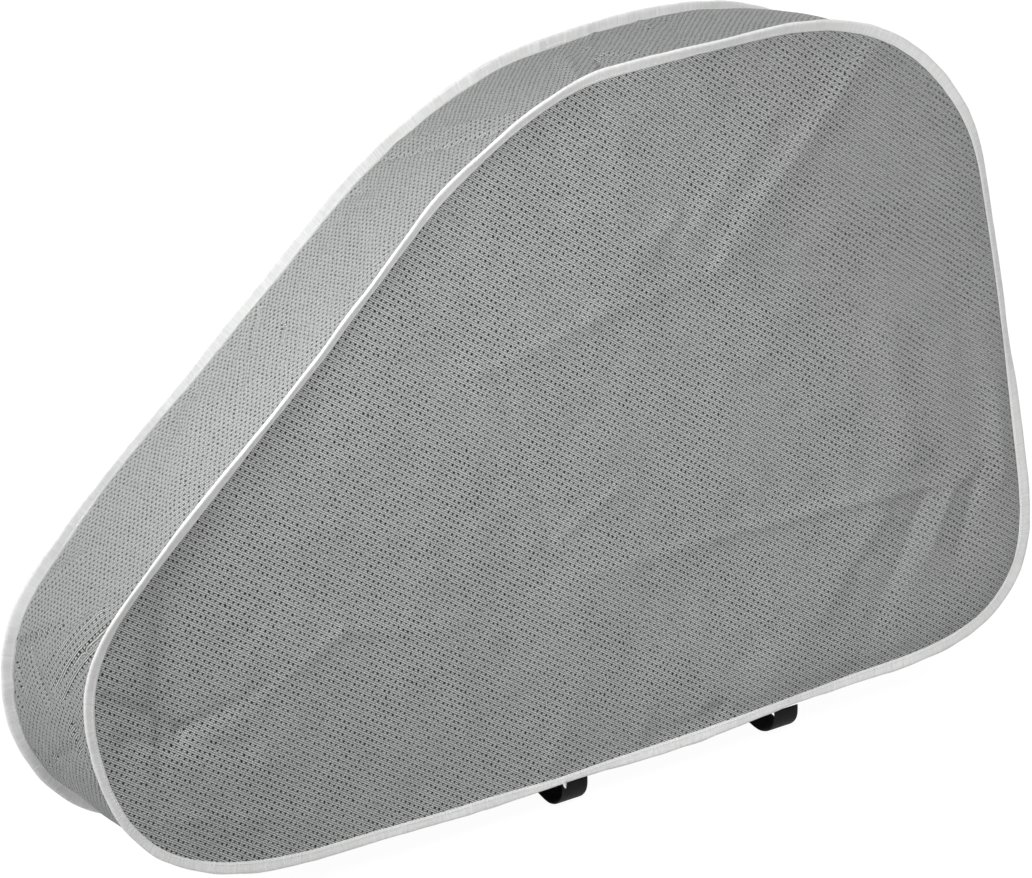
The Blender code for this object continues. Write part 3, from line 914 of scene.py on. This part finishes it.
def strap_pieces(prefix):
    """The visible webbing and patches of one strap and its tab."""
    low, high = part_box(prefix + "_strap")
    x = (low.x + high.x) / 2
    width = high.x - low.x
    path = strap_path(prefix, STRAP_DROP[prefix])
    strap = ribbon(prefix + "_strap_webbing", path, x, width, WEBBING)
    finish_piece(strap, webbing, prefix + "_strap", "black_webbing", prefix + "_strap", rides=False)
    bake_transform(strap)

    tab_low, tab_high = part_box(prefix + "_tab")
    tab_ends = [(tab_high.y, tab_high.z - WEBBING / 2), (tab_low.y, tab_low.z + WEBBING / 2)]
    tab_path = dense(tab_ends, 0.0015)
    tab = ribbon(prefix + "_tab_webbing", tab_path, x, width, WEBBING)
    finish_piece(tab, webbing, prefix + "_tab", "black_webbing", prefix + "_tab")

    for kind, pile, body in (("hook", hook_pile, "_strap"), ("loop", loop_pile, "_tab")):
        node = prefix + "_" + kind + "_patch"
        patch = rounded_patch(node + "_pile", node, 0.0003)
        finish_piece(patch, pile, prefix + body, "black_" + kind, node)

    for part in ("strap", "tab"):
        node = prefix + "_" + part + "_sewn_end"
        end_low, end_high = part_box(node)
        y = (end_low.y + end_high.y) / 2
        sewn_path = dense([(y, end_low.z), (y, end_high.z)], 0.0015)
        sewn = ribbon(node + "_webbing", sewn_path, x, width, WEBBING)
        finish_piece(sewn, webbing, "cover", "black_webbing", node)


def tape_tail():
    """The loose end of the front tape, a small white point that hangs beside the nose-side strap."""
    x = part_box("nose_side_strap")[0].x - 0.0005
    rows = []
    for share in np.linspace(0, 1, 9):
        half = 0.0022 * (1.0 - share) ** 0.8 + 0.0004
        z = 0.0015 - 0.0070 * share
        y = front_edge.y - 0.0026 + 0.0008 * math.sin(2.5 * share)
        middle = x + 0.0006 * share
        rows.append([(middle + side * half, y + 0.0005 * side * side, z) for side in (-1, -0.4, 0.2, 1)])
    points = np.array(rows)
    piece = grid_object("front_tape_tail", points, points[:, :, (0, 2)])
    thicken(piece, TAPE)
    return piece


# ---------------------------------------------------------------- stage

def white_floor():
    """A wide pale floor with a wall round it, which cast no light or shadow on the cover."""
    reach = 30.0
    wall = 12.0
    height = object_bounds()[0][2] - 0.0002
    corners = [(-reach, -reach), (reach, -reach), (reach, reach), (-reach, reach)]
    mesh = bpy.data.meshes.new("floor")
    mesh.from_pydata([(x, y, height + rise) for rise in (0.0, wall) for x, y in corners], [],
                     [(0, 1, 2, 3)] + [(k, k + 4, (k + 1) % 4 + 4, (k + 1) % 4) for k in range(4)])
    floor = add_to_scene("floor", mesh)
    made, _, shader = shader_tree("floor_white", (0.15, 0.15, 0.15), 0.9)
    shader.inputs["Specular IOR Level"].default_value = 0.0
    shader.inputs["Emission Color"].default_value = (1.0, 1.0, 1.0, 1.0)
    shader.inputs["Emission Strength"].default_value = 0.96
    mesh.materials.append(made)
    floor.visible_diffuse = False
    floor.visible_shadow = False


def lights():
    """Even fill, a soft key from the upper left, a light from behind and two lamps aimed at the front."""
    world = bpy.data.worlds.new("studio")
    bpy.context.scene.world = world
    world.use_nodes = True
    background = world.node_tree.nodes["Background"]
    background.inputs["Color"].default_value = (1.0, 1.0, 1.0, 1.0)
    background.inputs["Strength"].default_value = 0.42

    suns = (("key", (-0.75, -0.26, 0.55), 1.13, 26.0), ("back", (0.85, 0.45, 0.05), 1.2, 25.0))
    for name, direction, strength, angle in suns:
        light = bpy.data.lights.new(name, "SUN")
        light.energy = strength
        light.angle = math.radians(angle)
        lamp = add_to_scene(name, light)
        lamp.rotation_euler = Vector(direction).to_track_quat("Z", "Y").to_euler()

    areas = (("upper_left", (-0.62, -0.20, 0.80), (-0.22, 0.0, 0.36), 0.50, 0.40),
             ("upper_front", (-0.55, -1.05, 0.98), (0.33, -0.075, 0.20), 1.6, 0.35))
    for name, place, aim, power, width in areas:
        light = bpy.data.lights.new(name, "AREA")
        light.energy = power
        light.size = width
        light.spread = math.radians(75.0)
        lamp = add_to_scene(name, light)
        lamp.location = place
        lamp.rotation_euler = (Vector(place) - Vector(aim)).to_track_quat("Z", "Y").to_euler()
        lamp.visible_camera = False
    bpy.context.scene.view_settings.view_transform = "Standard"
    bpy.context.scene.view_settings.look = "None"


def camera():
    """A long lens that looks at AIM along the three angles."""
    forward = Vector((math.sin(AZIMUTH) * math.cos(ELEVATION), math.cos(AZIMUTH) * math.cos(ELEVATION),
                      -math.sin(ELEVATION)))
    level_right = Vector((math.cos(AZIMUTH), -math.sin(AZIMUTH), 0.0))
    level_up = level_right.cross(forward)
    right = level_right * math.cos(ROLL) + level_up * math.sin(ROLL)
    up = right.cross(forward)
    made = bpy.data.cameras.new("camera")
    made.sensor_width = 36.0
    made.lens = LENS
    made.clip_end = 100.0
    view = bpy.data.objects.new("camera", made)
    rotation = Matrix((right, up, -forward)).transposed()
    view.matrix_world = Matrix.Translation(AIM - forward * DISTANCE) @ rotation.to_4x4()
    bpy.context.scene.collection.objects.link(view)
    bpy.context.scene.camera = view


# ---------------------------------------------------------------- the cover

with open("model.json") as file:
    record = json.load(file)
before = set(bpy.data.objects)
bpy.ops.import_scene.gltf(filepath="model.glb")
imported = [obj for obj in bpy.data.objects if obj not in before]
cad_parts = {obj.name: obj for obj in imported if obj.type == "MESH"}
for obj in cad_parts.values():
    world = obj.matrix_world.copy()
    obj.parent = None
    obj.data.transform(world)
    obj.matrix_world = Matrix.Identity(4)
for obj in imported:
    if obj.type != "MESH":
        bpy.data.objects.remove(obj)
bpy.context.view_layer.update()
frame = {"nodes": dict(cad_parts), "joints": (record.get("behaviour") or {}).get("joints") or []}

camera()
white_floor()
lights()

cloth = cloth_material("embossed_cloth", (0.295, 0.302, 0.298), (1.30, 0.95))
# Painted shade: the gusset's copy of the panels' cloth is a little darker, with stronger painted shade in its
# pits
shaded_gusset_cloth = cloth_material("embossed_gusset_cloth_shaded", (0.285, 0.292, 0.288), (1.45, 1.45), (0.004, 0.015))
white_tape = tape_material("binding_tape", (0.93, 0.93, 0.925))
thread = thread_material("white_thread", (0.88, 0.88, 0.87))
webbing = webbing_material("twill_webbing", (0.0075, 0.0075, 0.0078))
hook_pile = pile_material("hook_pile", (0.010, 0.010, 0.010), 0.0011, 0.0005)
loop_pile = pile_material("loop_pile", (0.013, 0.013, 0.013), 0.0007, 0.0003)

outline = Outline()
seam_y = [sum(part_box(node)[k].y for k in (0, 1)) / 2 for node in ("front_binding", "rear_binding")]
front_edge = Edge(FRONT_EDGE, seam_y[0], 1)
rear_edge = Edge(REAR_EDGE, seam_y[1], 5)

front_panel = side_panel("front_panel_cloth", front_edge, -1.0, FRONT_FOLDS, 1)
rear_panel = side_panel("rear_panel_cloth", rear_edge, 1.0, REAR_FOLDS, 2)
for piece, node in ((front_panel, "front_panel"), (rear_panel, "rear_panel")):
    finish_piece(piece, cloth, "cover", "grey_cloth", node)

strip = gusset()
finish_piece(strip, shaded_gusset_cloth, "cover", "grey_cloth", "gusset")
first_station, last_station = gusset_range()

place = np.arange(STATIONS) / STATIONS
rear_gathers = 0.3 + 1.2 * np.exp(-((place - 0.42) / 0.06) ** 2) + 0.9 * np.exp(-((place - 0.13) / 0.05) ** 2)
front_gathers = np.full(STATIONS, 0.25)
bound = (("front", front_edge, 51, front_gathers), ("rear", rear_edge, 61, rear_gathers))
for label, edge, seed, gathers in bound:
    tape = binding(label + "_binding_tape", edge, seed, gathers)
    finish_piece(tape, white_tape, "cover", "white_tape", label + "_binding")
    rows = binding_stitches(label + "_binding_stitches", edge)
    finish_piece(rows, thread, "cover", "white_tape")

for label, station, direction in (("nose", first_station, 1), ("back", last_station, -1)):
    tape, rows = hem_tape(label + "_hem_tape_fold", station, direction)
    finish_piece(tape, white_tape, "cover", "white_tape", label + "_hem_tape")
    finish_piece(rows, thread, "cover", "white_tape")

tail = tape_tail()
finish_piece(tail, white_tape, "cover", "white_tape")

for prefix in ("nose_side", "back_side"):
    strap_pieces(prefix)
